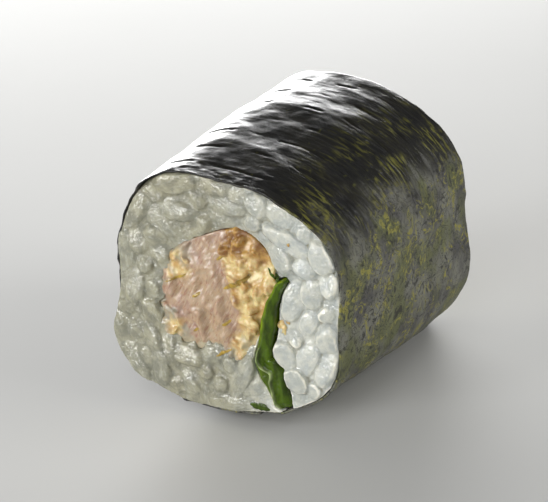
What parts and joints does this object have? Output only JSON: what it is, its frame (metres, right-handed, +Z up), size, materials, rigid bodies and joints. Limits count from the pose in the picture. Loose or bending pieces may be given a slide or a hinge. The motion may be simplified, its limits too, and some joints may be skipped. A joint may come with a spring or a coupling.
{
  "type": "maki roll piece",
  "caption": "Cut piece of thick sushi roll: nori round rice, with a fried chicken strip and a folded green leaf running through it.",
  "frame": {"origin": "on the surface the piece rests on, under the middle of the box that holds the piece", "axes": "+Y along the roll's axis, from the cut face shown in the picture to the other one; +Z up; +X to the right as that face is seen"},
  "size_m": [0.0344, 0.04, 0.0349],
  "materials": {
    "nori": "dark green-black, glossy where damp",
    "rice": "moist, slightly translucent",
    "chicken": "fibrous meat with a golden crumb crust",
    "leaf": "wet, glossy on its fold"
  },
  "bodies": {
    "root": {"nori": "nori", "rice": "rice", "chicken": "chicken", "leaf": "leaf"}
  },
  "joints": []
}
